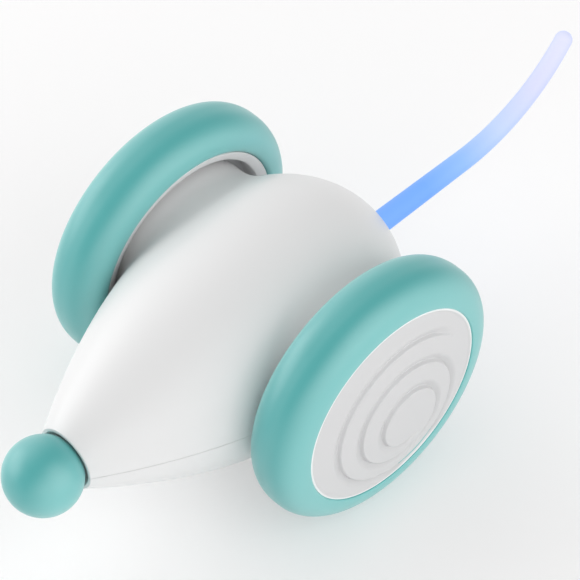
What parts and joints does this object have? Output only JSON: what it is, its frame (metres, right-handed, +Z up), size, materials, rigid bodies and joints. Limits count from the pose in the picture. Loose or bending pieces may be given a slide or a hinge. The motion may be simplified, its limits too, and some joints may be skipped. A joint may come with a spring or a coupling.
{
  "type": "automatic cat toy",
  "caption": "Self-rolling mouse toy for cats: drop-shaped housing between two soft-tyred drive wheels, press-in ball nose and an upturned light-up tail.",
  "frame": {"origin": "on the floor, under the middle of the toy's box", "axes": "+Z up, +Y from the nose towards the tail, +X along the axle to the mouse's left"},
  "size_m": [0.0856, 0.1896, 0.071],
  "materials": {
    "white_shell": "satin white moulded plastic",
    "white_disc": "soft white moulded plastic with a spiral groove",
    "teal_silicone": "matte teal silicone rubber",
    "tail_silicone": "translucent silicone light guide, blue at the root and pale lilac at the tip",
    "bright_steel": "bright steel",
    "motor_steel": "plated steel can",
    "gear_plastic": "natural acetal",
    "dark_plastic": "black moulded plastic",
    "brass": "turned brass",
    "cast_iron": "plain casting",
    "cell_foil": "silver-grey foil pouch",
    "green_board": "green lacquered circuit board",
    "clear_lamp": "clear epoxy lamp",
    "grey_button": "grey moulded plastic"
  },
  "bodies": {
    "chassis": {"upper_shell": "white_shell", "lower_shell": "white_shell", "ballast_weight": "cast_iron", "battery": "cell_foil", "main_board": "green_board", "charging_port": "bright_steel", "power_switch": "dark_plastic", "shell_screw_1": "bright_steel", "shell_screw_2": "bright_steel", "shell_screw_3": "bright_steel", "shell_screw_4": "bright_steel", "switch_carrier": "gear_plastic", "nose_switch": "dark_plastic", "nose_spring": "bright_steel", "tail": "tail_silicone", "tail_socket": "gear_plastic", "tail_lamp": "clear_lamp", "left_axle_bush": "brass", "left_gear_plate": "dark_plastic", "left_gear_cover": "dark_plastic", "left_gear_pin_1": "bright_steel", "left_gear_pin_2": "bright_steel", "left_motor": "motor_steel", "right_axle_bush": "brass", "right_gear_plate": "dark_plastic", "right_gear_cover": "dark_plastic", "right_gear_pin_1": "bright_steel", "right_gear_pin_2": "bright_steel", "right_motor": "motor_steel"},
    "left_wheel": {"left_tyre": "teal_silicone", "left_hub": "white_shell", "left_hub_cap": "white_disc", "left_hub_screw": "bright_steel", "left_axle": "bright_steel", "left_axle_gear": "gear_plastic"},
    "right_wheel": {"right_tyre": "teal_silicone", "right_hub": "white_shell", "right_hub_cap": "white_disc", "right_hub_screw": "bright_steel", "right_axle": "bright_steel", "right_axle_gear": "gear_plastic"},
    "left_double_gear_2": {"left_gear_2": "gear_plastic"},
    "left_double_gear_1": {"left_gear_1": "gear_plastic"},
    "left_pinion": {"left_motor_pinion": "brass"},
    "right_double_gear_2": {"right_gear_2": "gear_plastic"},
    "right_double_gear_1": {"right_gear_1": "gear_plastic"},
    "right_pinion": {"right_motor_pinion": "brass"},
    "nose": {"nose_ball": "teal_silicone", "nose_clip": "bright_steel"},
    "button": {"power_button": "grey_button"}
  },
  "joints": [
    {"name": "left_wheel_spin", "type": "hinge", "parent": "chassis", "child": "left_wheel", "pos_m": [0.0348, -0.01128, 0.0355], "axis": [1, 0, 0], "continuous": true},
    {"name": "right_wheel_spin", "type": "hinge", "parent": "chassis", "child": "right_wheel", "pos_m": [-0.0348, -0.01128, 0.0355], "axis": [1, 0, 0], "continuous": true},
    {"name": "left_gear_2_spin", "type": "hinge", "parent": "chassis", "child": "left_double_gear_2", "pos_m": [0.023, -0.02072, 0.04095], "axis": [1, 0, 0], "continuous": true},
    {"name": "left_gear_1_spin", "type": "hinge", "parent": "chassis", "child": "left_double_gear_1", "pos_m": [0.021, -0.02557, 0.03255], "axis": [1, 0, 0], "continuous": true},
    {"name": "left_pinion_spin", "type": "hinge", "parent": "chassis", "child": "left_pinion", "pos_m": [0.019, -0.01685, 0.0283], "axis": [1, 0, 0], "continuous": true},
    {"name": "right_gear_2_spin", "type": "hinge", "parent": "chassis", "child": "right_double_gear_2", "pos_m": [-0.023, -0.02072, 0.04095], "axis": [1, 0, 0], "continuous": true},
    {"name": "right_gear_1_spin", "type": "hinge", "parent": "chassis", "child": "right_double_gear_1", "pos_m": [-0.021, -0.02557, 0.03255], "axis": [1, 0, 0], "continuous": true},
    {"name": "right_pinion_spin", "type": "hinge", "parent": "chassis", "child": "right_pinion", "pos_m": [-0.019, -0.01685, 0.0283], "axis": [1, 0, 0], "continuous": true},
    {"name": "nose_press", "type": "slide", "parent": "chassis", "child": "nose", "axis": [0, 1, 0], "range_m": [0, 0.0008], "stiffness_N_per_m": 400, "springref_m": -0.0008, "deforming": ["nose_spring"]},
    {"name": "power_press", "type": "slide", "parent": "chassis", "child": "button", "axis": [0, 0, 1], "range_m": [0, 0.0003], "stiffness_N_per_m": 800, "springref_m": -0.0003}
  ],
  "couplings": [
    {"joint": "left_gear_2_spin", "follows": "left_wheel_spin", "ratio": -3.5},
    {"joint": "left_gear_1_spin", "follows": "left_wheel_spin", "ratio": 10.5},
    {"joint": "left_pinion_spin", "follows": "left_wheel_spin", "ratio": -31.5},
    {"joint": "right_gear_2_spin", "follows": "right_wheel_spin", "ratio": -3.5},
    {"joint": "right_gear_1_spin", "follows": "right_wheel_spin", "ratio": 10.5},
    {"joint": "right_pinion_spin", "follows": "right_wheel_spin", "ratio": -31.5}
  ]
}
